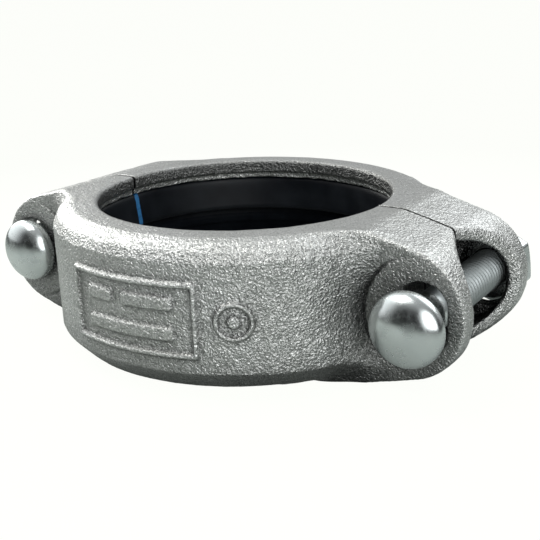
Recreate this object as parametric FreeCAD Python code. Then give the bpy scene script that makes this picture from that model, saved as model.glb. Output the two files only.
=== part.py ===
"""Grooved pipe coupling, two-segment, light pattern, for 101.6 mm (3 1/2 inch) pipe.

Millimetres. Origin: centre of the pipe bore at mid width. +Z runs along the pipe, +X through
the right bolt pads, +Y along the bolts from their heads to their nuts. The ring lies flat on
its lower side, z = -half_width.

Seven pieces: two identical cast segments that meet at y = 0 (front at y < 0, rear at y > 0),
one C-section gasket, two oval-neck bolts with domed heads, two hexagon nuts. The left head
stands close to its pad, the right one further out, and each nut sits on the rear pad.
"""
import FreeCAD, Part

import math
import os

Vector = FreeCAD.Vector

# ---- dimensions shared by several pieces -----------------------------------------------------
inch = 25.4
origin = Vector(0, 0, 0)
pipe_axis = Vector(0, 0, 1)
bolt_axis = Vector(0, 1, 0)

half_width = 23.9          # half the coupling's width along the pipe
ledge_z = 17.0             # inner side of each key = side of the gasket cavity
cavity_r = 58.2            # gasket cavity
ring_r = 64.0              # outside of the cast ring
bolt_x = 76.8              # bolt axis from the pipe axis
pad_y = 26.1               # outer face of a bolt pad


# ---- helpers ---------------------------------------------------------------------------------
def line(start, end):
    return Part.LineSegment(start, end).toShape()


def lines(points):
    """The edges of an open polyline."""
    return [line(start, end) for start, end in zip(points, points[1:])]


def arc(start, middle, end):
    return Part.Arc(start, middle, end).toShape()


def spline(points, **tangents):
    curve = Part.BSplineCurve()
    curve.interpolate(Points=points, **tangents)
    return curve.toShape()


def face(edges):
    return Part.Face(Part.Wire(Part.__sortEdges__(edges)))


def polygon(points):
    return Part.Face(Part.makePolygon(points + [points[0]]))


def box(x0, x1, y0, y1, z0, z1):
    return Part.makeBox(x1 - x0, y1 - y0, z1 - z0, Vector(x0, y0, z0))


def radial_face(points):
    """Polygon in the XZ plane from (radius, z) points."""
    return polygon([Vector(radius, 0, z) for radius, z in points])


def symmetric_ring(upper_half):
    """Turn a profile about the pipe axis. Its (radius, z) points are mirrored in z = 0."""
    lower_half = [(radius, -z) for radius, z in reversed(upper_half)]
    return radial_face(upper_half + lower_half).revolve(origin, pipe_axis, 360)


def turned_on_bolt(points, centre_x):
    """Turn (radius, y) points about the bolt axis at centre_x."""
    profile = polygon([Vector(centre_x + radius, y, 0) for radius, y in points])
    return profile.revolve(Vector(centre_x, 0, 0), bolt_axis, 360)


def oval_prism(width, height, y0, y1, centre_x):
    """Prism along Y: width in X, height in Z, with full-radius ends."""
    end_r = width / 2.0
    side_z = height / 2.0 - end_r
    left, right = centre_x - end_r, centre_x + end_r
    top_left, top_right = Vector(left, y0, side_z), Vector(right, y0, side_z)
    low_left, low_right = Vector(left, y0, -side_z), Vector(right, y0, -side_z)
    outline = face([
        line(low_left, top_left),
        arc(top_left, Vector(centre_x, y0, side_z + end_r), top_right),
        line(top_right, low_right),
        arc(low_right, Vector(centre_x, y0, -side_z - end_r), low_left),
    ])
    return outline.extrude(Vector(0, y1 - y0, 0))


def mirror_x(shape):
    return shape.mirror(origin, Vector(1, 0, 0))


def one_solid(shape):
    """The single solid of a shape, with split faces merged."""
    solids = shape.removeSplitter().Solids
    assert len(solids) == 1, "expected one solid, got %d" % len(solids)
    assert solids[0].isValid(), "invalid solid"
    return solids[0]


# ---- segment: ring ---------------------------------------------------------------------------
key_r = 49.3               # inner radius of the two keys that drop into the pipe grooves
key_face_z = 19.4          # the key's full-height band runs from here to the outer chamfer
key_chamfer = 0.8
ledge_r = 50.5             # low step behind each key band
ledge_slope = 0.5          # Z length of the slope from the band to the step

# (radius, z) along the rounded upper shoulder, outwards
shoulder = [(54.0, half_width), (56.8, 23.8), (59.4, 23.35), (62.6, 21.2), (ring_r, 17.9)]
# (radius, z) along the straight-sided lower shoulder, inwards
lower_side = [(ring_r, -15.7), (58.5, -21.7), (51.5, -half_width)]


def ring_outer():
    """Full disc with a rounded upper shoulder and a straight-sided lower one."""
    rounded = [Vector(radius, 0, z) for radius, z in shoulder]
    top = spline(rounded, InitialTangent=Vector(1, 0, 0), FinalTangent=Vector(0, 0, -1))
    outline = [rounded[-1]] + [Vector(radius, 0, z) for radius, z in lower_side]
    outline += [Vector(0, 0, -half_width), Vector(0, 0, half_width), rounded[0]]
    return face([top] + lines(outline)).revolve(origin, pipe_axis, 360)


def ring_inner():
    """Everything inside the keys and the gasket cavity, 1 mm past both sides of the ring."""
    mouth_r = key_r + key_chamfer
    return symmetric_ring([
        (0, half_width + 1), (mouth_r, half_width + 1), (mouth_r, half_width),
        (key_r, half_width - key_chamfer), (key_r, key_face_z),
        (ledge_r, key_face_z - ledge_slope), (ledge_r, ledge_z), (cavity_r, ledge_z),
    ])


# ---- segment: ears, drawn at +X --------------------------------------------------------------
pad_inner_y = 20.6         # inner face of the pad plate
ear_root_x = 46.0          # the ear starts here, inside the ring
ear_tip_x = 69.8           # centre of the rounded ear tip
ear_tip_r = 20.1
ear_taper = math.radians(14.4)  # the upper and lower sides close in by this angle
ear_wall = 3.9             # upper and lower wall of the hollow ear
ear_hollow_x = 66.2        # the hollow starts here
blend_r = 10.0             # hollow blend from the ring's wall to the pad
blend_flare = 2.9          # growth of that radius at the upper and lower ends
blend_straight_z = 17.4    # the radius is constant up to here
blend_end_z = 22.6
blend_inner = (52.0, -14.0)  # x, y of the blend's corner inside the ring
scoop_r = 18.6             # round scoop about the bolt, at the pad
scoop_slope = math.radians(15.0)  # how it opens away from the pad
scoop_depth = 30.0
slot_width = 15.2          # oval bolt hole, in X
slot_height = 21.4         # oval bolt hole, in Z
# (x, distance from y = 0) where the walls leave the parting face and sweep back to the plate
web_sweep = [(76.0, 0.0), (76.9, 3.4), (79.6, 8.6), (82.6, 13.2),
             (85.4, 16.6), (88.2, 18.5), (91.2, 19.3), (94.0, 19.6)]


def ear_prism(inset, left_x, y0, y1):
    """Prism of the tapered, round-tipped ear outline, inset from the outside, from left_x on."""
    tip_r = ear_tip_r - inset
    cap_z = half_width - inset
    tangent_x = ear_tip_x + tip_r * math.sin(ear_taper)
    tangent_z = tip_r * math.cos(ear_taper)
    knee_x = tangent_x - (cap_z - tangent_z) / math.tan(ear_taper)
    if knee_x > left_x:
        upper = [Vector(left_x, y0, cap_z), Vector(knee_x, y0, cap_z)]
    else:
        upper = [Vector(left_x, y0, tangent_z + (tangent_x - left_x) * math.tan(ear_taper))]
    upper.append(Vector(tangent_x, y0, tangent_z))
    lower = [Vector(point.x, point.y, -point.z) for point in upper]
    tip = arc(upper[-1], Vector(ear_tip_x + tip_r, y0, 0), lower[-1])
    edges = lines(upper) + lines(lower) + [tip, line(upper[0], lower[0])]
    return face(edges).extrude(Vector(0, y1 - y0, 0))


def blend_section(radius, z):
    """Filler between the ring's wall and the pad at height z, bounded by a hollow arc."""
    centre_y = -(pad_y + blend_r)
    centre_x = math.sqrt((ring_r + blend_r) ** 2 - centre_y ** 2)

    def on_arc(angle):
        return Vector(centre_x + radius * math.cos(angle), centre_y + radius * math.sin(angle), z)

    ring_angle = math.atan2(-centre_y, -centre_x)
    pad_angle = math.pi / 2
    start, end = on_arc(ring_angle), on_arc(pad_angle)
    inner = Vector(blend_inner[0], blend_inner[1], z)
    middle = on_arc(0.5 * (ring_angle + pad_angle))
    return Part.Wire([arc(start, middle, end), line(end, inner), line(inner, start)])


def ear_blend():
    flared_r = blend_r + blend_flare
    stations = [(flared_r, -blend_end_z), (blend_r, -blend_straight_z),
                (blend_r, blend_straight_z), (flared_r, blend_end_z)]
    parts = [Part.makeLoft([blend_section(*low), blend_section(*high)], True, True)
             for low, high in zip(stations, stations[1:])]
    # kept within the tapered upper and lower sides of the ear
    return parts[0].fuse(parts[1:]).common(ear_prism(0.0, ear_root_x, -60.0, 0.0))


def web_sweep_cut():
    """Removes the walls' outer ends, beyond the sweep."""
    low_z, height = -30, 60
    far_x, far_y = 100, 5
    points = [Vector(x, -depth, low_z) for x, depth in web_sweep]
    surround = [points[-1], Vector(far_x, points[-1].y, low_z), Vector(far_x, far_y, low_z),
                Vector(points[0].x, far_y, low_z), points[0]]
    return face([spline(points)] + lines(surround)).extrude(Vector(0, 0, height))


def ear_cuts():
    """The scoop, the hollow between the walls, the walls' swept ends and the bolt hole."""
    scoop = Part.makeCone(scoop_r, scoop_r + scoop_depth * math.tan(scoop_slope), scoop_depth,
                          Vector(bolt_x, -pad_y, 0), Vector(0, -1, 0))
    hollow = ear_prism(ear_wall, ear_hollow_x, -pad_inner_y, 1.0)
    hole = oval_prism(slot_width, slot_height, -pad_y - 5, 0, bolt_x)
    return [scoop, hollow, web_sweep_cut(), hole]


# ---- segment: raised panel and round mark on the wall ----------------------------------------
# Angles in degrees from -Y towards +X.
panel_start, panel_end = -19.3, 21.5   # outer edges of the frame
panel_low, panel_high = -10.7, 12.25
panel_rib = 1.5
panel_rise = 0.9
rib_overlap = 0.5          # the side ribs end this far inside the frame's upper and lower edges
bar_margin = 6.5           # angle from the frame's sides to the inner bars
bar_rise = 0.6
upper_bar_z = (3.6, 7.6)
lower_bar_z = (-5.6, -1.6)
mark_angle = 30.9
mark_z = 0.8
mark_r = 5.8
mark_rib = 1.1
mark_dot_r = 1.7
mark_rise = 0.6


def wall_bar(start, end, z0, z1, rise):
    """Raised bar on the ring's wall between two angles, rooted 1 mm deep."""
    root_r, top_r = ring_r - 1.0, ring_r + rise
    section = radial_face([(root_r, z0), (top_r, z0), (top_r, z1), (root_r, z1)])
    bar = section.revolve(origin, pipe_axis, end - start)
    bar.rotate(origin, pipe_axis, -90.0 + start)
    return bar


def panel():
    """Four frame ribs, then two upper bars and a lower one inside them."""
    start, end = panel_start, panel_end
    rib_angle = math.degrees(panel_rib / ring_r)
    side_z = (panel_low + rib_overlap, panel_high - rib_overlap)
    bars = [
        (start, end, panel_high - panel_rib, panel_high, panel_rise),
        (start, end, panel_low, panel_low + panel_rib, panel_rise),
        (start, start + rib_angle, *side_z, panel_rise),
        (end - rib_angle, end, *side_z, panel_rise),
        (start + bar_margin, start + 15.5, *upper_bar_z, bar_rise),
        (start + 19.0, end - bar_margin, *upper_bar_z, bar_rise),
        (start + bar_margin, end - bar_margin, *lower_bar_z, bar_rise),
    ]
    return [wall_bar(*bar) for bar in bars]


def round_mark():
    """A raised ring with a raised dot at its centre."""
    angle = math.radians(-90.0 + mark_angle)
    outward = Vector(math.cos(angle), math.sin(angle), 0)
    base = outward * (ring_r - 2.0) + Vector(0, 0, mark_z)

    def disc(radius):
        return Part.makeCylinder(radius, 4.0, base, outward)

    limit = Part.makeCylinder(ring_r + mark_rise, 40.0, Vector(0, 0, -20))
    ring = disc(mark_r).cut(disc(mark_r - mark_rib))
    return [ring.common(limit), disc(mark_dot_r).common(limit)]


# ---- segment: whole --------------------------------------------------------------------------
parting_gap = 0.2          # between the two parting faces
tongue_x0, tongue_x1 = 59.7, 64.3
tongue_z = 10.0            # half the tongue's height
tongue_len = 3.0           # how far it reaches past y = 0
tongue_root = 2.0          # how far it is rooted in the segment
tongue_clear = 0.35        # clearance of the recess round the tongue


def segment():
    """The front segment, y < 0: half ring, two hollow ears, tongue at +X, recess at -X."""
    parting_y = -parting_gap / 2.0
    ears = [ear_prism(0.0, ear_root_x, -pad_y, 0.0), ear_blend()]
    body = ring_outer().fuse(ears + [mirror_x(ear) for ear in ears])
    body = body.common(box(-120, 120, -90, parting_y, -40, 40))
    cuts = ear_cuts()
    for cutter in cuts + [mirror_x(cutter) for cutter in cuts] + [ring_inner()]:
        body = body.cut(cutter)
    body = body.fuse(panel() + round_mark())
    tongue = box(tongue_x0, tongue_x1, parting_y - tongue_root, tongue_len, -tongue_z, tongue_z)
    recess_z = tongue_z + tongue_clear
    recess = box(-tongue_x1 - tongue_clear, -tongue_x0 + tongue_clear,
                 -tongue_len - tongue_clear, 1.0, -recess_z, recess_z)
    return one_solid(body.fuse(tongue).cut(recess))


# ---- gasket ----------------------------------------------------------------------------------
gasket_clear = 0.2         # to the cavity's wall and sides
lip_r = 49.7               # innermost radius of the lips
lip_tip_z = 4.6            # the lips' free edges, which point to mid width
lip_root_r = 53.6
web_r = 54.8               # inside of the web
web_rib = 0.9              # height of the low rib at the middle of the web


def gasket():
    """C-section ring: a web by the cavity wall and two long lips that slope in to the pipe."""
    outer_r = cavity_r - gasket_clear
    side_z = ledge_z - gasket_clear
    return one_solid(symmetric_ring([
        # outer corner and side
        (outer_r, side_z - 0.9), (outer_r - 0.9, side_z), (52.0, side_z), (51.3, side_z - 0.6),
        # lip, down to its free edge and back to its root
        (lip_r + 0.3, side_z - 9.0), (lip_r, lip_tip_z + 0.9), (lip_r + 0.35, lip_tip_z + 0.1),
        (lip_r + 1.1, lip_tip_z), (lip_r + 1.9, lip_tip_z + 0.7), (lip_root_r, side_z - 4.6),
        # web and its middle rib
        (web_r, side_z - 4.0), (web_r, 2.0), (web_r - web_rib, 1.2),
    ]))


# ---- bolts: 1/2-13 x 2 3/4 inch, oval neck, domed head ---------------------------------------
bolt_r = 0.5 * inch / 2
bolt_len = 2.75 * inch     # from the underside of the head
bolt_end_chamfer = 1.0
left_head_gap = 1.0        # underside of the left head to its pad
right_head_gap = 8.0
head_r = 11.1
head_chamfer = 0.4         # at the underside
head_edge = 1.9            # from the underside to the dome
head_dome = 5.6
dome_steps = 8
neck_width = 14.0          # in X
neck_height = 16.6         # in Z
neck_len = 9.5


def bolt_head(centre_x, under_y):
    """Flat underside with a chamfer, short cylindrical edge, elliptical dome towards -Y."""
    dome_y = under_y - head_edge
    centre = Vector(centre_x, under_y, 0)
    apex = Vector(centre_x, dome_y - head_dome, 0)
    side = [centre, Vector(centre_x + head_r - head_chamfer, under_y, 0),
            Vector(centre_x + head_r, under_y - head_chamfer, 0),
            Vector(centre_x + head_r, dome_y, 0)]
    angles = [math.pi / 2 * i / dome_steps for i in range(dome_steps + 1)]
    dome_points = [Vector(centre_x + head_r * math.cos(angle),
                          dome_y - head_dome * math.sin(angle), 0) for angle in angles]
    dome = spline(dome_points, InitialTangent=Vector(0, -1, 0), FinalTangent=Vector(-1, 0, 0))
    profile = face(lines(side) + [dome, line(apex, centre)])
    return profile.revolve(Vector(centre_x, 0, 0), bolt_axis, 360)


def bolt(centre_x, head_gap):
    under_y = -pad_y - head_gap
    end_y = under_y + bolt_len
    neck = oval_prism(neck_width, neck_height, under_y - 1.0, under_y + neck_len, centre_x)
    shank = turned_on_bolt([
        (0, under_y), (bolt_r, under_y), (bolt_r, end_y - bolt_end_chamfer),
        (bolt_r - bolt_end_chamfer, end_y), (0, end_y),
    ], centre_x)
    return one_solid(bolt_head(centre_x, under_y).fuse([neck, shank]))


# ---- nuts: 1/2-13 hexagon, 13/16 inch across flats -------------------------------------------
nut_flats = 20.6
nut_height = 10.3
nut_bore_r = 6.40
nut_bore_chamfer = 0.7
nut_seat_gap = 0.05        # to the rear pad
nut_face_ratio = 0.985     # flat end face, as a share of the width across flats
left_nut_turn = 11.0       # degrees
right_nut_turn = -23.0


def nut(centre_x, turn):
    y0 = pad_y + nut_seat_gap
    y1 = y0 + nut_height
    corner_r = nut_flats / 2.0 / math.cos(math.radians(30))
    angles = [math.radians(turn + 60 * k) for k in range(6)]
    hexagon = polygon([Vector(centre_x + corner_r * math.cos(angle), y0,
                              corner_r * math.sin(angle)) for angle in angles])
    prism = hexagon.extrude(Vector(0, nut_height, 0))
    # both ends have a 30 degree chamfer at the corners
    face_r = nut_flats / 2.0 * nut_face_ratio
    outer_r = corner_r + 1.0
    slope_y = (outer_r - face_r) * math.tan(math.radians(30))
    envelope = turned_on_bolt([
        (0, y0), (face_r, y0), (outer_r, y0 + slope_y),
        (outer_r, y1 - slope_y), (face_r, y1), (0, y1),
    ], centre_x)
    # 45 degree chamfers, carried 1 mm past both ends
    mouth_r = nut_bore_r + nut_bore_chamfer + 1
    bore = turned_on_bolt([
        (0, y0 - 1), (mouth_r, y0 - 1), (nut_bore_r, y0 + nut_bore_chamfer),
        (nut_bore_r, y1 - nut_bore_chamfer), (mouth_r, y1 + 1), (0, y1 + 1),
    ], centre_x)
    return one_solid(prism.common(envelope).cut(bore))


# ---- assembly --------------------------------------------------------------------------------
def build():
    front = segment()
    rear = front.copy()
    rear.rotate(origin, pipe_axis, 180)
    return {
        "front_housing": front,
        "rear_housing": rear,
        "gasket": gasket(),
        "left_bolt": bolt(-bolt_x, left_head_gap),
        "right_bolt": bolt(bolt_x, right_head_gap),
        "left_nut": nut(-bolt_x, left_nut_turn),
        "right_nut": nut(bolt_x, right_nut_turn),
    }


os.makedirs("parts", exist_ok=True)
for name, shape in build().items():
    shape.exportStep("parts/%s.step" % name)
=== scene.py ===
"""A two-bolt pipe coupling: two cast housings around a rubber gasket.

The pipe runs along Z. The front housing lies at -Y and the rear one is the same casting turned
half round Z. The bolts run along Y at -X and +X, heads at -Y and nuts at +Y.
Shapes are worked out in millimetres; materials, lights and camera are in metres.
"""
import math
from functools import cached_property, reduce

import bpy
import numpy as np
from mathutils import Matrix, Vector


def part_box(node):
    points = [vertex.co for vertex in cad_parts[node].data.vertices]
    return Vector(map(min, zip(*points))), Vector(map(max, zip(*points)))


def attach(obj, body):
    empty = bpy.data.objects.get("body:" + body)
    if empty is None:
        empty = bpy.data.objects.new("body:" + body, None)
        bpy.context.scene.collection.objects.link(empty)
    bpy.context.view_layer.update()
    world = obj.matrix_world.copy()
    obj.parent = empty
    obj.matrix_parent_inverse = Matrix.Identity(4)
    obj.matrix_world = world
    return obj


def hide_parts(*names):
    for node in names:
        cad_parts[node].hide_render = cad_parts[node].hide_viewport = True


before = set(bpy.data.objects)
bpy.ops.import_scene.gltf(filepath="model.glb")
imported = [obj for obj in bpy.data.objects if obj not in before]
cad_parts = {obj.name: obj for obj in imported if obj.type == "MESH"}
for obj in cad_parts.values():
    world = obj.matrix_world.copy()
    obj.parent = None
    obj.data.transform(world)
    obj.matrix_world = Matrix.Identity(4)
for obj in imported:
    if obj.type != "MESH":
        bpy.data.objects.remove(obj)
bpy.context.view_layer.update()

MM = 1000.0                          # millimetres in a metre


def box_mm(node):
    low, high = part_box(node)
    return np.array(low) * MM, np.array(high) * MM


# ---- driving dimensions, mm ----------------------------------------------------------------
BOXES = {node: box_mm(node) for node in (
    "front_housing", "gasket", "left_bolt", "right_bolt", "left_nut", "right_nut")}
HOUSING_HIGH = BOXES["front_housing"][1]
HALF_WIDTH = HOUSING_HIGH[2]         # half the width along the pipe
RING_RADIUS = 64.0
PAD_DEPTH = 26.1                     # from the parting face to the pad under the bolt head
PAD_INNER_DEPTH = 20.6               # from the parting face to the pad's inner side
EAR_RADIUS = 20.1
EAR_X = HOUSING_HIGH[0] - EAR_RADIUS
EAR_TAPER = math.radians(14.4)
GASKET_RADIUS = BOXES["gasket"][1][0]
GASKET_HALF_WIDTH = BOXES["gasket"][1][2]
BOLT_LOW, BOLT_HIGH = BOXES["right_bolt"]
BOLT_X = 0.5 * (BOLT_LOW[0] + BOLT_HIGH[0])
HEAD_RADIUS = 0.5 * (BOLT_HIGH[0] - BOLT_LOW[0])
HEAD_EDGE = 1.9                      # height of the head's straight rim
HEAD_DOME = 5.6                      # height of the dome above the rim
PITCH = 25.4 / 13.0                  # 13 threads to the inch
THREAD_STEP = PITCH / 11.0           # spacing of the rings along a thread


# ---- mesh helpers --------------------------------------------------------------------------
def make_mesh(name, points_mm, quads, tris=()):
    """A smooth-shaded object from points in millimetres."""
    points = np.asarray(points_mm, np.float64) / MM
    quads = np.asarray(quads, np.int32).reshape(-1, 4)
    tris = np.asarray(tris, np.int32).reshape(-1, 3)
    mesh = bpy.data.meshes.new(name)
    mesh.vertices.add(len(points))
    mesh.vertices.foreach_set("co", points.astype(np.float32).ravel())
    mesh.loops.add(quads.size + tris.size)
    mesh.loops.foreach_set("vertex_index", np.concatenate([quads.ravel(), tris.ravel()]))
    starts = np.concatenate([np.arange(len(quads)) * 4, quads.size + np.arange(len(tris)) * 3])
    mesh.polygons.add(len(starts))
    mesh.polygons.foreach_set("loop_start", starts.astype(np.int32))
    mesh.polygons.foreach_set("use_smooth", np.full(len(starts), True, bool))
    mesh.update(calc_edges=True)
    mesh.validate()
    obj = bpy.data.objects.new(name, mesh)
    bpy.context.scene.collection.objects.link(obj)
    return obj


def ring_quads(rings, count, closed=False):
    """Quads between rings of count points; closed joins the last ring to the first."""
    i = np.arange(rings if closed else rings - 1)[:, None]
    j = np.arange(count)[None, :]
    here, beyond = i * count, (i + 1) % rings * count
    following = (j + 1) % count
    corners = [here + j, here + following, beyond + following, beyond + j]
    return np.stack(corners, -1).reshape(-1, 4)


def mirror(points):
    """The points in reverse order, with their second coordinate negated."""
    return [(a, -b) for a, b in reversed(points)]


# ---- distance fields: negative inside the metal --------------------------------------------
def smin(a, b, blend):
    h = np.maximum(blend - np.abs(a - b), 0.0) / blend
    return np.minimum(a, b) - h * h * (blend * 0.25)


def smax(a, b, blend):
    return -smin(-a, -b, blend)


def fillet_union(a, b, radius):
    u = np.maximum(radius - a, 0.0)
    v = np.maximum(radius - b, 0.0)
    return np.maximum(radius, np.minimum(a, b)) - np.sqrt(u * u + v * v)


def rounded_box(radius, *spans):
    """Box in two or three dimensions; spans are (coordinates, low, high)."""
    gaps = [np.abs(a - 0.5 * (low + high)) - 0.5 * (high - low) + radius
            for a, low, high in spans]
    outside = np.sqrt(sum(np.maximum(gap, 0) ** 2 for gap in gaps))
    return outside + np.minimum(reduce(np.maximum, gaps), 0) - radius


def polygon_field(px, py, points):
    """Exact signed distance to a closed polygon."""
    points = np.asarray(points, float)
    nearest = np.full(np.broadcast(px, py).shape, 1e9)
    sign = np.ones(nearest.shape)
    for i in range(len(points)):
        ax, ay = points[i]
        bx, by = points[i - 1]
        edge_x, edge_y = bx - ax, by - ay
        wx, wy = px - ax, py - ay
        along = (wx * edge_x + wy * edge_y) / (edge_x * edge_x + edge_y * edge_y)
        along = np.clip(along, 0, 1)
        dx, dy = wx - edge_x * along, wy - edge_y * along
        nearest = np.minimum(nearest, dx * dx + dy * dy)
        above, below, left = py >= ay, py < by, edge_x * wy > edge_y * wx
        crossed = (above & below & left) | (~above & ~below & ~left)
        sign = np.where(crossed, -sign, sign)
    return sign * np.sqrt(nearest)


# The sampling grid: lines along each axis, then arrays shaped to broadcast over it
VOXEL = 0.5
GRID_X = np.arange(-92.0, 92.01, VOXEL)
GRID_Y = np.arange(-67.0, 4.51, VOXEL)
GRID_Z = np.arange(-26.0, 26.01, VOXEL)
ABS_GRID_X = np.abs(GRID_X)
PLAN_X = GRID_X[:, None]
PLAN_Y = GRID_Y[None, :]
PLAN_RADIUS = np.sqrt(PLAN_X ** 2 + PLAN_Y ** 2)
X = GRID_X[:, None, None].astype(np.float32)
Y = GRID_Y[None, :, None].astype(np.float32)
Z = GRID_Z[None, None, :].astype(np.float32)


def from_table(values, start, step, table):
    """Look a (value, z) table up over the whole grid, linear along value."""
    place = (values - start) / step
    i = np.clip(np.floor(place).astype(int), 0, len(table) - 2)
    t = np.clip(place - i, 0, 1)[:, :, None].astype(np.float32)
    return table[i] * (1 - t) + table[i + 1] * t


def revolved(outline):
    """Field of a (radius, z) outline turned about the pipe's axis."""
    step = 0.1
    radii = np.arange(0, 115.0, step)
    table = polygon_field(radii[:, None], GRID_Z[None, :], outline).astype(np.float32)
    return from_table(PLAN_RADIUS, 0.0, step, table)


def ring_field():
    outline = [                      # radius, z
        (53.0, HALF_WIDTH), (57.4, 23.72), (60.3, 22.75), (62.5, 20.75), (RING_RADIUS, 17.9),
        (RING_RADIUS, -15.7), (58.5, -21.7), (51.5, -HALF_WIDTH),
        (-5, -HALF_WIDTH), (-5, HALF_WIDTH)]
    return revolved(outline)


def bore_field():
    """The space inside the ring: two narrow keys with a wide groove between them."""
    key_radius = 49.3
    chamfer = 0.8
    outer_z = HALF_WIDTH + 3
    upper = [                        # radius, z
        (-5, outer_z), (key_radius + chamfer + 2.4, outer_z),
        (key_radius + chamfer, HALF_WIDTH), (key_radius, HALF_WIDTH - chamfer),
        (key_radius, 19.4), (50.5, 18.9), (50.5, 17.0), (58.2, 17.0)]
    return revolved(upper + mirror(upper))


def ear_field(inset, inner_x):
    """Both ears seen along Y: a round tip with tapered sides, cut off at inner_x."""
    radius = EAR_RADIUS - inset
    touch_x = EAR_X + radius * math.sin(EAR_TAPER)
    touch_z = radius * math.cos(EAR_TAPER)
    cap = HALF_WIDTH - inset
    slope = math.tan(EAR_TAPER)
    knee_x = touch_x - (cap - touch_z) / slope
    if knee_x > inner_x:
        side = [(inner_x, cap), (knee_x, cap), (touch_x, touch_z)]
    else:
        side = [(inner_x, touch_z + (touch_x - inner_x) * slope), (touch_x, touch_z)]
    start = math.pi / 2 - EAR_TAPER
    tip = [(EAR_X + radius * math.cos(a), radius * math.sin(a))
           for a in np.linspace(start, -start, 40)[1:-1]]
    field = polygon_field(ABS_GRID_X[:, None], GRID_Z[None, :], side + tip + mirror(side))
    return field.astype(np.float32)[:, None, :]


def raised(field, height, ramp):
    """Height inside a flat shape, falling smoothly to zero over the ramp's width."""
    t = np.clip(0.5 - field / ramp, 0, 1)
    return height * (t * t * (3 - 2 * t))


def wall_relief():
    """Height of the raised frame, its blank bars and the plain round mark on the wall."""
    first, step = -45.0, 0.2         # degrees round the wall from -Y towards +X
    arc = (np.radians(np.arange(first, 60.0, step)) * RING_RADIUS)[:, None]
    z = GRID_Z[None, :]
    degree = RING_RADIUS * math.pi / 180
    start, end = -19.3, 21.5         # the frame's ends, degrees
    rim = 1.5
    outer = rounded_box(1.0, (arc, start * degree, end * degree), (z, -10.7, 12.25))
    inner = rounded_box(0.6, (arc, start * degree + rim, end * degree - rim),
                        (z, -9.2, 10.75))
    relief = raised(np.maximum(outer, -inner), height=1.25, ramp=0.8)
    bars = (                         # start and end in degrees, low and high z
        (start + 6.5, start + 15.5, 3.6, 7.6),
        (start + 19.0, end - 6.5, 3.6, 7.6),
        (start + 6.5, end - 6.5, -5.6, -1.6))
    for a, b, low, high in bars:
        bar = rounded_box(0.6, (arc, a * degree, b * degree), (z, low, high))
        relief = np.maximum(relief, raised(bar, height=1.0, ramp=0.7))
    # the round mark: a ring with a dot at its centre
    from_mark = np.sqrt((arc - 30.9 * degree) ** 2 + (z - 0.8) ** 2)
    relief = np.maximum(relief, raised(np.abs(from_mark - 5.2) - 0.60, height=1.1, ramp=0.6))
    relief = np.maximum(relief, raised(from_mark - 1.9, height=1.0, ramp=0.6))
    # the tiny term makes the angle zero on the pipe's axis
    angle = np.degrees(np.arctan2(PLAN_X, -PLAN_Y + 1e-9 * PLAN_X))
    relief = from_table(angle, first, step, relief.astype(np.float32))
    return relief * (np.abs(angle - 5) < 45)[:, :, None]


def wall_end_cut():
    """The space beyond the swept ends of the ear's walls."""
    sweep = np.array([               # distance from the pipe's axis in X, depth in -Y
        (76.0, 0.0), (76.9, 3.4), (79.6, 8.6), (82.6, 13.2),
        (85.4, 16.6), (88.2, 18.5), (91.2, 19.3), (94.0, 19.6)])
    depth = np.interp(ABS_GRID_X, sweep[:, 0], sweep[:, 1])
    depth = np.convolve(np.pad(depth, 3, "edge"), np.ones(7) / 7, "valid")
    slope = np.abs(np.gradient(depth, VOXEL))
    stretch = np.sqrt(1 + slope ** 2)[:, None, None].astype(np.float32)
    cut = (Y + depth[:, None, None].astype(np.float32)) / stretch
    return np.minimum(cut, np.abs(X) - 75.6)


def casting_field():
    ring = ring_field()
    ear_plan = ear_field(inset=0.0, inner_x=40.0)
    ear = smax(ear_plan, -PAD_DEPTH - Y, blend=0.9)
    fillet = smax(fillet_union(ring, ear, radius=9.0), ear_plan, blend=1.0)
    web = smin(ring, fillet, blend=0.8)
    # sloping web from the ring to the ear, a little fuller towards +Z
    slab = 0.573 * np.abs(X) - 0.819 * Y - 53.5 - 2.2 * np.clip(Z / 12.0, 0, 1)
    slab = smax(smax(slab, ear_plan, blend=1.0), 42.0 - np.abs(X), blend=9.0)
    web = smin(web, smax(slab, Y + 18.0, blend=6.0), blend=1.6)
    # scoop about the bolt head, opening away from the pad
    flare = math.radians(22.0)
    from_bolt = np.sqrt((np.abs(X) - BOLT_X) ** 2 + Z ** 2)
    cone = from_bolt - 18.6 - np.maximum(-PAD_DEPTH - Y, 0) * math.tan(flare)
    cone = cone * math.cos(flare)
    web = smax(web, -smax(cone, Y + PAD_DEPTH, blend=0.8), blend=4.5)
    body = smin(web, ear, blend=1.0)
    body = smax(body, np.abs(Z) - HALF_WIDTH, blend=0.5)
    # shallow channel where the scoop meets the pad, fading out away from the ring
    fade = np.clip((73.0 - np.abs(X)) / 9.0, 0, 1)
    channel = smax(17.9 - from_bolt, cone, blend=0.5)
    channel = smax(channel, Y + PAD_DEPTH - 0.85 * fade, blend=0.5)
    body = smax(body, -channel, blend=0.5)
    # the hollow between the ear's walls
    hollow = smax(ear_field(inset=3.9, inner_x=66.2), -(Y + PAD_INNER_DEPTH), blend=2.5)
    body = smax(body, -hollow, blend=1.4)
    body = smax(body, wall_end_cut(), blend=1.8)
    # the oval bolt hole, long in Z
    hole = np.sqrt((np.abs(X) - BOLT_X) ** 2 + np.maximum(np.abs(Z) - 3.1, 0) ** 2) - 7.6
    body = smax(body, -hole, blend=1.0)
    body = smax(body, -bore_field(), blend=0.7)
    near_wall = np.clip((PLAN_RADIUS - 60.0) / 2.0, 0, 1)[:, :, None].astype(np.float32)
    body = body - wall_relief() * near_wall
    return body.astype(np.float32)


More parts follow.
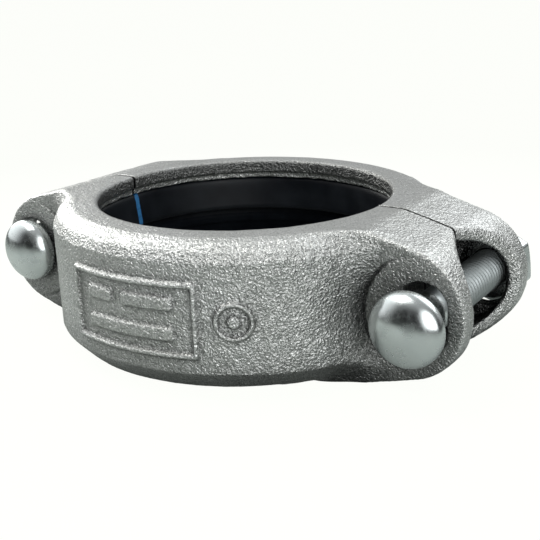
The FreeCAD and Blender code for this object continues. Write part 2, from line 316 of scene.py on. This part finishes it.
def finish_parting(body):
    """Cut at the parting face, then add the tongue at +X and sink the recess at -X."""
    body = smax(body, Y + 0.30, blend=0.30)
    tongue = rounded_box(0.7, (X, 59.7, 64.3), (Y, -3.0, 3.0), (Z, -10, 10))
    recess = rounded_box(0.4, (X, -64.65, -59.35), (Y, -3.35, 2.0), (Z, -10.35, 10.35))
    return np.maximum(np.minimum(body, tongue), -recess)


def grid_noise(seed, reach, passes):
    """Unit noise over the grid, box-blurred along each axis as often as passes says."""
    shape = (len(GRID_X), len(GRID_Y), len(GRID_Z))
    noise = np.random.default_rng(seed).standard_normal(shape, np.float32)
    for _ in range(passes):
        for axis in range(3):
            shifted = (np.roll(noise, k, axis) for k in range(-reach, reach + 1))
            noise = sum(shifted) / np.float32(2 * reach + 1)
    return noise / noise.std()


def grain_depth():
    """As-cast grain: strong on the wall, finer on the upper and lower sides and the bore."""
    outside = np.clip((PLAN_RADIUS - 55.0) / 6.0, 0, 1)[:, :, None]
    wall = outside * np.clip((24.6 - np.abs(Z)) / 3.0, 0.45, 1.0)
    wall = wall * np.clip((84.0 - PLAN_RADIUS) / 14.0, 0.5, 1.0)[:, :, None]
    return (0.010 + 0.013 * wall).astype(np.float32)


def surface_nets(field):
    """Points and quads on the field's zero surface, one point to each crossed cell."""
    inside = field < 0
    corners = [(k & 1, (k >> 1) & 1, (k >> 2) & 1) for k in range(8)]
    edges = [(a, b) for a in range(8) for b in range(a + 1, 8) if bin(a ^ b).count("1") == 1]
    nx, ny, nz = field.shape
    filled = np.zeros((nx - 1, ny - 1, nz - 1), np.uint8)
    for a, b, c in corners:
        filled += inside[a:nx - 1 + a, b:ny - 1 + b, c:nz - 1 + c]
    active = (filled > 0) & (filled < 8)
    i, j, k = np.nonzero(active)
    index = np.full(active.shape, -1, np.int32)
    index[i, j, k] = np.arange(len(i))
    # each point is the mean of the crossings on its cell's edges
    values = np.stack([field[i + a, j + b, k + c] for a, b, c in corners], 1)
    total = np.zeros((len(i), 3))
    count = np.zeros(len(i))
    for a, b in edges:
        value_a, value_b = values[:, a], values[:, b]
        crossed = (value_a < 0) != (value_b < 0)
        t = np.where(crossed, value_a / np.where(crossed, value_a - value_b, 1), 0)
        start, end = np.array(corners[a]), np.array(corners[b])
        total += (start + t[:, None] * (end - start)) * crossed[:, None]
        count += crossed
    origin = np.array((GRID_X[0], GRID_Y[0], GRID_Z[0]))
    points = origin + VOXEL * (np.stack([i, j, k], 1) + total / count[:, None])
    # a quad across each crossed grid edge, facing out of the metal
    quads = []
    units = np.eye(3, dtype=int)[:, :, None]
    for axis in range(3):
        before_part, after_part = [slice(1, -1)] * 3, [slice(1, -1)] * 3
        before_part[axis] = slice(None, -1)
        after_part[axis] = slice(1, None)
        before = inside[tuple(before_part)]
        cell = np.array(np.nonzero(before != inside[tuple(after_part)]))
        u, v = units[(axis + 1) % 3], units[(axis + 2) % 3]
        around = (cell, cell + u, cell + u + v, cell + v)
        quad = np.stack([index[tuple(c)] for c in around], 1)
        quads.append(np.where(before[tuple(cell)][:, None], quad, quad[:, ::-1]))
    return points, np.concatenate(quads)


def make_castings():
    base = casting_field()
    depth = grain_depth()
    half_turn = np.array([-1.0, -1.0, 1.0])
    castings = {}
    for node, turn, seed in (("front_housing", 1.0, 11), ("rear_housing", half_turn, 12)):
        grain = grid_noise(seed, reach=1, passes=1) * depth
        swell = grid_noise(seed + 50, reach=4, passes=2) * np.float32(0.020)
        points, quads = surface_nets(finish_parting(base + grain + swell))
        castings[node] = make_mesh("cast_" + node, points * turn, quads)
    return castings


# ---- fasteners -----------------------------------------------------------------------------
def thread_radius(y, angles, minor, major, crest, root):
    """Radius of a helical thread; crest and root are fractions of the half pitch."""
    phase = y / PITCH + angles / (2 * math.pi)
    t = np.abs((phase % 1.0) - 0.5) * 2
    return minor + (major - minor) * np.clip((root - t) / (root - crest), 0, 1)


def lathe(centre_x, rings, angles):
    """Points about a Y axis; a ring is (y, radius), either one number or one per angle."""
    y, radius = (np.array([np.broadcast_to(ring[k], angles.shape) for ring in rings], float)
                 for k in (0, 1))
    points = [centre_x + radius * np.cos(angles), y, radius * np.sin(angles)]
    return np.stack(points, -1).reshape(-1, 3)


def neck_radius(angles, grow=0.0):
    """Outline of the oval neck: flat sides across X, round ends towards +Z and -Z."""
    half_width = 7.0 + grow
    shift = 1.3                      # how far each end's centre lies from the bolt's axis
    cos, sin = np.abs(np.cos(angles)), np.abs(np.sin(angles))
    side = half_width / np.maximum(cos, 1e-6)
    root = np.sqrt(np.maximum(half_width * half_width - shift * shift * cos * cos, 0))
    return np.where(side * sin <= shift, side, shift * sin + root)


def make_bolt(name, centre_x, apex_y, end_y):
    segments = 96
    neck_length = 9.5
    thread_length = 46.0
    shank = 6.0
    minor, major = 5.22, 6.30
    angles = np.arange(segments) * 2 * math.pi / segments
    under_y = apex_y + HEAD_DOME + HEAD_EDGE
    neck_end = under_y + neck_length
    rings = [(under_y - HEAD_EDGE - HEAD_DOME * math.cos(a), HEAD_RADIUS * math.sin(a))
             for a in np.linspace(0.03, math.pi / 2, 34)]
    # the head's rim: y from its underside, how far inside the head's radius
    for y, inset in ((0.5 - HEAD_EDGE, 0), (-0.75, 0), (-0.4, 0.06), (-0.15, 0.22), (0, 0.5)):
        rings.append((under_y + y, HEAD_RADIUS - inset))
    # the fillet under the head, kept inside it: y from the underside, growth of the neck
    for y, grow in ((0, 0.55), (0.12, 0.22)):
        rings.append((under_y + y, np.minimum(neck_radius(angles, grow), HEAD_RADIUS - 0.55)))
    # the neck, in the same columns, never slimmer than 6.3
    for y, grow in ((0.4, 0.04), (1.0, 0), (neck_length * 0.5, 0), (neck_length - 1.1, 0),
                    (neck_length - 0.5, -0.15), (neck_length - 0.15, -0.5),
                    (neck_length, -1.0)):
        rings.append((under_y + y, np.maximum(neck_radius(angles, grow), 6.3)))
    rings += [(neck_end + 0.15, 6.6), (neck_end + 0.6, 6.15), (neck_end + 1.2, shank)]
    thread_y = max(end_y - thread_length, neck_end + 2.0)
    rings.append((thread_y - 0.3, shank))
    for y in np.arange(thread_y, end_y - 0.02, THREAD_STEP):
        run_in = min(1.0, (y - thread_y) / (1.6 * PITCH))
        radius = thread_radius(y, angles, minor, major, crest=0.16, root=0.84)
        radius = shank * (1 - run_in) + radius * run_in
        chamfer = max(0.0, y - (end_y - 1.3)) * 0.85
        rings.append((y, np.minimum(radius, major - chamfer)))
    rings += [(end_y - 0.05, 5.1), (end_y, 4.9), (end_y, 2.0)]

    points = lathe(centre_x, rings, angles)
    centres = [(centre_x, points[0, 1], 0), (centre_x, points[-1, 1], 0)]
    j = np.arange(segments)
    following = (j + 1) % segments
    last = len(points) - segments
    tris = [np.stack([np.full(segments, len(points)), following, j], 1),
            np.stack([np.full(segments, len(points) + 1), last + j, last + following], 1)]
    return make_mesh(name, np.concatenate([points, centres]),
                     ring_quads(len(rings), segments), np.concatenate(tris))


def make_nut(name, centre_x, low_y, high_y, turn_degrees):
    segments = 180
    across_flats = 20.6
    mouth = 6.95                     # radius where the bore meets the end faces
    lip = 0.001                      # first and last bore rings lie this far inside the faces
    edge = 0.05                      # height of the small bevel round each face
    turn = math.radians(turn_degrees)
    angles = np.arange(segments) * 2 * math.pi / segments + turn
    hexagon = (across_flats / 2) / np.cos((angles - turn) % (math.pi / 3) - math.pi / 6)
    hexagon = np.minimum(hexagon, hexagon.max() - 0.18)      # corners just broken
    face = across_flats / 2 * 0.965
    chamfer_slope = math.tan(math.radians(30))

    def bore(y):
        radius = thread_radius(y, angles, minor=5.52, major=6.42, crest=0.22, root=0.90)
        return np.maximum(radius, 6.75 - max(0.0, min(y - low_y, high_y - y)) * 1.1)

    def chamfer(share):
        """Radius and drop from the face, part of the way out to the hexagon."""
        radius = face + (hexagon - face) * share
        return radius, (radius - face) * chamfer_slope

    rings = [(y, bore(y)) for y in np.arange(low_y + lip, high_y, THREAD_STEP)]
    rings += [(high_y - lip, bore(high_y - lip)), (high_y, mouth),
              (high_y, face - 0.25), (high_y - edge, face)]
    for share in (0.35, 0.7, 1.0):
        radius, drop = chamfer(share)
        rings.append((high_y - edge - drop, radius))
    drop = (hexagon - face) * chamfer_slope
    flat_high = high_y - edge - drop
    flat_low = low_y + edge + drop
    for k in (0.04, 0.35, 0.65, 0.96):
        rings.append((flat_high * (1 - k) + flat_low * k, hexagon))
    rings.append((flat_low, hexagon))
    for share in (0.7, 0.35, 0.0):
        radius, drop = chamfer(share)
        rings.append((low_y + edge + drop, radius))
    rings += [(low_y, face - 0.25), (low_y, mouth), (low_y + lip, bore(low_y + lip))]
    quads = ring_quads(len(rings), segments)[:, ::-1]
    return make_mesh(name, lathe(centre_x, rings, angles), quads)


# ---- gasket --------------------------------------------------------------------------------
def make_gasket():
    outer, top = GASKET_RADIUS, GASKET_HALF_WIDTH
    side = [                         # radius, z of the +Z half, from the back round the lip
        (outer, top - 1.1), (outer - 0.9, top - 0.05), (55.0, top), (52.2, top - 0.02),
        (51.4, top - 0.5), (50.95, top - 1.8), (50.5, top - 6.0), (50.0, top - 9.5),
        (49.75, 5.9), (49.95, 4.85), (50.8, 4.6), (51.6, 5.2), (52.2, 7.2),
        (53.5, top - 4.7), (54.75, top - 4.4), (54.8, top - 6.0), (54.8, 2.2), (53.95, 1.3)]
    outline = np.array(side + [(53.9, 0)] + mirror(side) + [(outer, 0)], float)
    for _ in range(3):               # corner cutting rounds every edge
        following = np.roll(outline, -1, 0)
        outline = np.stack([0.78 * outline + 0.22 * following,
                            0.22 * outline + 0.78 * following], 1).reshape(-1, 2)
    keep = [0]                       # drop points closer than 0.16 to the one before
    for i in range(1, len(outline)):
        if np.hypot(*(outline[i] - outline[keep[-1]])) > 0.16:
            keep.append(i)
    outline = outline[keep]
    segments = 288
    angles = np.arange(segments) * 2 * math.pi / segments
    # the lips wander slightly from round
    wobble = 0.05 * np.sin(3 * angles + 0.6) + 0.03 * np.sin(7 * angles + 2.0)
    lip = np.clip((51.4 - outline[:, 0]) / 1.5, 0, 1)[:, None]
    radius = outline[:, 0][:, None] + lip * wobble[None, :]
    z = np.broadcast_to(outline[:, 1][:, None], radius.shape)
    points = np.stack([radius * np.cos(angles), radius * np.sin(angles), z], -1)
    return make_mesh("rubber_gasket", points.reshape(-1, 3),
                     ring_quads(len(outline), segments, closed=True))


parts = make_castings()
for side, sign in (("left", -1), ("right", 1)):
    low, high = BOXES[side + "_bolt"]
    parts[side + "_bolt"] = make_bolt("track_bolt_" + side, sign * BOLT_X, low[1], high[1])
for side, sign, turn in (("left", -1, 11.0), ("right", 1, -23.0)):
    low, high = BOXES[side + "_nut"]
    parts[side + "_nut"] = make_nut("hex_nut_" + side, sign * BOLT_X, low[1], high[1], turn)
parts["gasket"] = make_gasket()


# ---- materials -----------------------------------------------------------------------------
class Shader:
    """Builds the node tree of a material or world; values may be numbers or sockets."""

    def __init__(self, owner):
        self.owner = owner
        owner.use_nodes = True
        self.nodes = owner.node_tree.nodes

    @cached_property
    def position(self):
        return self.add("ShaderNodeTexCoord").outputs["Object"]

    def add(self, kind, **settings):
        node = self.nodes.new(kind)
        for key, value in settings.items():
            setattr(node, key, value)
        return node

    def put(self, socket, value):
        if isinstance(value, bpy.types.NodeSocket):
            self.owner.node_tree.links.new(value, socket)
        else:
            socket.default_value = value

    def fill(self, node, values):
        for key, value in values.items():
            self.put(node.inputs[key], value)
        return node

    def noise(self, scale, detail=2.0, roughness=0.5, distortion=0.0):
        return self.fill(self.add("ShaderNodeTexNoise"), {
            "Vector": self.position, "Scale": scale, "Detail": detail,
            "Roughness": roughness, "Distortion": distortion}).outputs["Fac"]

    def calc(self, operation, a, b=0.0):
        node = self.add("ShaderNodeMath", operation=operation)
        return self.fill(node, {0: a, 1: b, 2: 0.0}).outputs[0]

    def times(self, a, b):
        return self.calc("MULTIPLY", a, b)

    def hypotenuse(self, a, b):
        return self.calc("SQRT", self.calc("ADD", self.times(a, a), self.times(b, b)))

    def xyz(self, vector):
        return self.fill(self.add("ShaderNodeSeparateXYZ"), {0: vector}).outputs

    def ramp(self, factor, stops):
        """Stops are (position, colour)."""
        node = self.fill(self.add("ShaderNodeValToRGB"), {"Fac": factor})
        elements = node.color_ramp.elements
        for element, (place, colour) in zip(elements, (stops[0], stops[-1])):
            element.position = place
            element.color = (*colour, 1)
        for place, colour in stops[1:-1]:
            elements.new(place).color = (*colour, 1)
        return node.outputs["Color"]

    def remap(self, value, span, to, **settings):
        node = self.add("ShaderNodeMapRange", **settings)
        return self.fill(node, dict(enumerate((value, *span, *to)))).outputs[0]

    def mix(self, factor, a, b, mode="MIX"):
        a, b = ((*v, 1) if isinstance(v, tuple) else v for v in (a, b))
        node = self.add("ShaderNodeMix", data_type="RGBA", blend_type=mode)
        return self.fill(node, {0: factor, 6: a, 7: b}).outputs[2]

    def bump(self, height, strength, distance, **under):
        """Normal from a height; normal= gives the one it builds on."""
        node = self.fill(self.add("ShaderNodeBump"), {
            "Height": height, "Strength": strength, "Distance": distance})
        if under:
            self.put(node.inputs["Normal"], under["normal"])
        return node.outputs["Normal"]

    def occlusion(self, distance):
        node = self.add("ShaderNodeAmbientOcclusion", samples=6)
        return self.fill(node, {"Distance": distance}).outputs["AO"]

    def surface(self, values):
        self.fill(self.nodes["Principled BSDF"], values)
        return self.owner


def galvanised():
    m = Shader(bpy.data.materials.new("galvanised_casting"))
    geometry = m.add("ShaderNodeNewGeometry").outputs
    normal_z = m.xyz(geometry["True Normal"])["Z"]
    # 1 on the wall, 0 on the flat upper and lower sides
    side = m.remap(m.calc("ABSOLUTE", normal_z), span=(0.60, 0.97), to=(1.0, 0.0))
    fine = m.noise(scale=2400, roughness=0.6)
    grain = m.noise(scale=1450, detail=1.5, distortion=0.35)
    coarse = m.noise(scale=330, detail=1.5)
    broad = m.noise(scale=45, detail=3.0)
    spots = m.noise(scale=210, detail=3.0, roughness=0.6)
    voronoi = m.add("ShaderNodeTexVoronoi", feature="F1")
    pits = m.fill(voronoi, {"Vector": m.position, "Scale": 130}).outputs["Distance"]

    # light zinc grey: darker in the grain's hollows, cloudy patches and a few pits
    colour = m.ramp(broad, stops=[
        (0.30, (0.61, 0.615, 0.59)), (0.52, (0.66, 0.665, 0.645)), (0.72, (0.70, 0.705, 0.69))])
    for pattern, span, to, dark in (
            (grain, (0.36, 0.52), (0.55, 0.0), (0.24, 0.25, 0.24)),
            (spots, (0.64, 0.74), (0.0, 0.25), (0.33, 0.34, 0.33)),
            (pits, (0.0, 0.075), (0.7, 0.0), (0.12, 0.125, 0.13))):
        colour = m.mix(m.remap(pattern, span, to), colour, dark)

    # painted shade: the colour is darkened in recesses and creases, on the bore and in the
    # parting gap, and painted highlights brighten convex edges
    # painted shade in recesses and creases, from ambient occlusion
    painted_recess_shade = m.remap(m.occlusion(distance=0.018), span=(0.48, 0.98), to=(0.18, 1.0))
    painted_crease_shade = m.remap(m.occlusion(distance=0.0018), span=(0.45, 0.90), to=(0.22, 1.0))
    # painted highlight on convex edges and painted shade in concave ones, from pointiness
    high = m.remap(geometry["Pointiness"], span=(0.455, 0.545), to=(0.72, 1.14))
    place = m.xyz(m.position)
    radius = m.hypotenuse(place["X"], place["Y"])
    # painted shade on the bore's inner faces
    bore = m.remap(radius, span=(0.0495, 0.0504), to=(0.30, 1.0))
    # downward faces are kept brighter, as the lit floor reaches them
    under = m.remap(normal_z, span=(-0.75, -0.30), to=(0.62, 0.0))
    painted_recess_shade = m.calc("MAXIMUM", painted_recess_shade, under)
    # painted shade in the parting gap between the housings
    painted_seam_shade = m.remap(m.calc("ABSOLUTE", place["Y"]), span=(0.00045, 0.00075), to=(0.08, 1.0))
    # all the painted shade and highlights together, multiplied into the base colour below
    shade = m.times(m.calc("MAXIMUM", m.times(painted_recess_shade, painted_crease_shade), 0.20),
                    m.times(high, m.times(bore, painted_seam_shade)))
    grey = m.fill(m.add("ShaderNodeCombineColor"), {0: shade, 1: shade, 2: shade}).outputs[0]

    height = m.calc("ADD", m.times(grain, 1.0), m.times(fine, 0.10))
    height = m.calc("ADD", height, m.times(coarse, 0.65))
    strength = m.remap(side, span=(0.0, 1.0), to=(0.50, 1.0))
    normal = m.bump(height, strength, distance=0.00074)
    pit_height = m.calc("MINIMUM", m.times(pits, 10.0), 1.0)
    return m.surface({
        "Base Color": m.mix(1.0, colour, grey, "MULTIPLY"),
        "Metallic": 0.95,
        "Roughness": m.remap(grain, span=(0.3, 0.7), to=(0.41, 0.25)),
        "Normal": m.bump(pit_height, strength=0.5, distance=0.00010, normal=normal)})


def zinc():
    m = Shader(bpy.data.materials.new("bright_zinc_plate"))
    broad = m.noise(scale=90, detail=3.0)
    smudge = m.noise(scale=240, detail=4.0, roughness=0.6)
    fine = m.noise(scale=2600)
    dents = m.noise(scale=170, detail=1.0, roughness=0.4)
    colour = m.ramp(broad, stops=[(0.3, (0.62, 0.66, 0.66)), (0.7, (0.76, 0.80, 0.79))])
    stain = m.remap(smudge, span=(0.56, 0.72), to=(0.0, 0.35))
    colour = m.mix(stain, colour, (0.42, 0.45, 0.46))
    # the thread is duller than the head and the nut's faces
    place = m.xyz(m.position)
    from_bolt = m.calc("SUBTRACT", m.calc("ABSOLUTE", place["X"]), BOLT_X / MM)
    radius = m.hypotenuse(from_bolt, place["Z"])
    thread = m.times(m.remap(radius, span=(0.0064, 0.0069), to=(1.0, 0.0)),
                     m.remap(place["Y"], span=(-0.022, -0.020), to=(0.0, 1.0)))
    polish = m.remap(smudge, span=(0.35, 0.7), to=(0.16, 0.34))
    normal = m.bump(dents, strength=0.35, distance=0.00030)
    return m.surface({
        "Base Color": m.mix(m.times(thread, 0.9), colour, (0.31, 0.335, 0.335)),
        "Metallic": 1.0,
        "Roughness": m.calc("ADD", polish, m.times(thread, 0.26)),
        "Normal": m.bump(fine, strength=0.10, distance=0.00004, normal=normal)})


def rubber():
    m = Shader(bpy.data.materials.new("moulded_rubber"))
    fine = m.noise(scale=1400, detail=3.0, roughness=0.6)
    broad = m.noise(scale=120, detail=3.0)
    colour = m.ramp(broad, stops=[(0.35, (0.004, 0.005, 0.007)), (0.7, (0.008, 0.010, 0.013))])
    height = m.xyz(m.position)["Z"]
    # a blue stripe at -X with ragged edges, on the lips' inner faces only
    place = m.xyz(m.position)
    angle = m.calc("ARCTAN2", place["Y"], m.times(place["X"], -1.0))
    ragged = m.calc("SUBTRACT", m.noise(scale=900, roughness=0.6), 0.5)
    from_stripe = m.calc("ADD", m.calc("SUBTRACT", angle, 0.045), m.times(ragged, 0.010))
    stripe = m.remap(m.calc("ABSOLUTE", from_stripe), span=(0.016, 0.021), to=(1.0, 0.0))
    radius = m.hypotenuse(place["X"], place["Y"])
    stripe = m.times(stripe, m.remap(radius, span=(0.0519, 0.0523), to=(1.0, 0.0)))
    wear = m.noise(scale=700, detail=3.0, roughness=0.7)
    stripe = m.times(stripe, m.remap(wear, span=(0.30, 0.5), to=(0.45, 1.0)))
    return m.surface({
        "Base Color": m.mix(stripe, colour, (0.035, 0.16, 0.36)),
        "Specular IOR Level": m.remap(height, span=(0.0015, 0.0055), to=(0.03, 0.19)),
        "Roughness": m.remap(broad, span=(0.3, 0.7), to=(0.36, 0.50)),
        "Normal": m.bump(fine, strength=0.25, distance=0.00006)})


cast_metal, zinc_plate, black_rubber = galvanised(), zinc(), rubber()
for node, material, slot in (
        ("front_housing", cast_metal, "housing"),
        ("rear_housing", cast_metal, "housing"),
        ("gasket", black_rubber, "gasket_rubber"),
        ("left_bolt", zinc_plate, "zinc_plate"),
        ("right_bolt", zinc_plate, "zinc_plate"),
        ("left_nut", zinc_plate, "zinc_plate"),
        ("right_nut", zinc_plate, "zinc_plate")):
    part = parts[node]
    part.data.materials.append(material)
    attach(part, node)
    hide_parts(node)

# ---- floor, world, lights, camera ----------------------------------------------------------
BACKDROP = (0.99, 1.0, 0.965, 1)     # what the camera sees of the floor and the world


def floor_material():
    m = Shader(bpy.data.materials.new("pale_floor"))
    m.nodes.remove(m.nodes["Principled BSDF"])
    position = m.add("ShaderNodeNewGeometry").outputs["Position"]
    distance = m.fill(m.add("ShaderNodeVectorMath", operation="LENGTH"), {0: position})
    # painted pool of light: the floor's colour is pale under the object and darkens a little way
    # out
    fade = m.remap(distance.outputs["Value"], span=(0.16, 0.34), to=(1.0, 0.10))
    colour = m.mix(fade, (0.0, 0.0, 0.0), (0.40, 0.425, 0.405))
    sheet = m.fill(m.add("ShaderNodeBsdfDiffuse"), {"Color": colour})
    glow = m.fill(m.add("ShaderNodeEmission"), {"Color": BACKDROP, "Strength": 1.06})
    seen = m.times(m.add("ShaderNodeLightPath").outputs["Is Camera Ray"], 0.93)
    blend = m.fill(m.add("ShaderNodeMixShader"),
                   {0: seen, 1: sheet.outputs[0], 2: glow.outputs[0]})
    m.fill(m.nodes["Material Output"], {"Surface": blend.outputs[0]})
    return m.owner


def make_floor():
    half = 6.0
    z = -HALF_WIDTH / MM - 0.0002    # just under the housings
    mesh = bpy.data.meshes.new("floor")
    corners = [(-half, -half, z), (half, -half, z), (half, half, z), (-half, half, z)]
    mesh.from_pydata(corners, [], [(0, 1, 2, 3)])
    floor = bpy.data.objects.new("floor", mesh)
    bpy.context.scene.collection.objects.link(floor)
    mesh.materials.append(floor_material())


def make_world():
    w = Shader(bpy.data.worlds.new("studio"))
    bpy.context.scene.world = w.owner
    w.nodes.clear()
    x, y, z = w.xyz(w.add("ShaderNodeTexCoord").outputs["Generated"])

    def combine(operation, a, b):
        node = w.add("ShaderNodeMath", operation=operation)
        return w.fill(node, {0: a, 1: b}).outputs[0]

    def soft(value, span, to):
        return w.remap(value, span, to, interpolation_type="SMOOTHSTEP")

    # pale wall behind the object and pale ceiling, darker room on the camera's side
    behind = combine("ADD", combine("MULTIPLY", x, -0.56), combine("MULTIPLY", y, 0.83))
    glow = combine("ADD", soft(behind, span=(-0.35, 0.75), to=(0.0, 0.42)),
                   soft(z, span=(0.30, 0.95), to=(0.012, 0.40)))
    # two soft pale patches: one behind the camera to its right, a fainter one to the left
    for direction, start, peak in (((0.79, -0.56, 0.25), 0.77, 3.2),
                                   ((-0.90, -0.16, 0.38), 0.66, 1.0)):
        along = [combine("MULTIPLY", a, b) for a, b in zip((x, y, z), direction)]
        toward = combine("ADD", combine("ADD", along[0], along[1]), along[2])
        glow = combine("ADD", glow, soft(toward, span=(start, 1.0), to=(0.0, peak)))
    room = w.fill(w.add("ShaderNodeBackground"),
                  {"Color": (0.97, 0.99, 1.0, 1), "Strength": glow})
    seen = w.fill(w.add("ShaderNodeBackground"), {"Color": BACKDROP})
    camera_ray = w.add("ShaderNodeLightPath").outputs["Is Camera Ray"]
    blend = w.fill(w.add("ShaderNodeMixShader"),
                   {0: camera_ray, 1: room.outputs[0], 2: seen.outputs[0]})
    w.fill(w.add("ShaderNodeOutputWorld"), {"Surface": blend.outputs[0]})


def make_light(name, location, size, power, colour):
    """A square area light aimed at the origin."""
    data = bpy.data.lights.new(name, "AREA")
    data.energy = power
    data.color = colour
    data.size = size
    light = bpy.data.objects.new(name, data)
    bpy.context.scene.collection.objects.link(light)
    light.location = location
    aim = Vector((0, 0, 0)) - Vector(location)
    light.rotation_euler = aim.to_track_quat("-Z", "Y").to_euler()


def make_camera():
    data = bpy.data.cameras.new("camera")
    data.sensor_width = 36.0
    data.lens = 62.8468067
    data.clip_start = 0.01
    camera = bpy.data.objects.new("camera", data)
    bpy.context.scene.collection.objects.link(camera)
    yaw, pitch, roll = 0.5910, 0.3146, -0.0361
    forward = Vector((-math.sin(yaw) * math.cos(pitch), math.cos(yaw) * math.cos(pitch),
                      -math.sin(pitch)))
    level = Vector((math.cos(yaw), math.sin(yaw), 0))
    upright = level.cross(forward)
    right = level * math.cos(roll) + upright * math.sin(roll)
    up = -level * math.sin(roll) + upright * math.cos(roll)
    matrix = Matrix((right, up, -forward)).transposed().to_4x4()
    matrix.translation = Vector((0.1795163, -0.2543222, 0.096305))
    camera.matrix_world = matrix
    bpy.context.scene.camera = camera


make_floor()
make_world()
make_light("window_softbox", (-0.98, 0.30, 0.42), size=0.5, power=4.2, colour=(1.0, 0.995, 0.97))
make_light("top_softbox", (-0.40, -0.34, 1.02), size=0.62, power=5.6, colour=(1.0, 1.0, 0.98))
make_light("back_softbox", (0.35, 0.85, 0.75), size=0.8, power=5.0, colour=(0.95, 0.98, 1.0))
make_camera()
bpy.context.scene.view_settings.view_transform = "Standard"
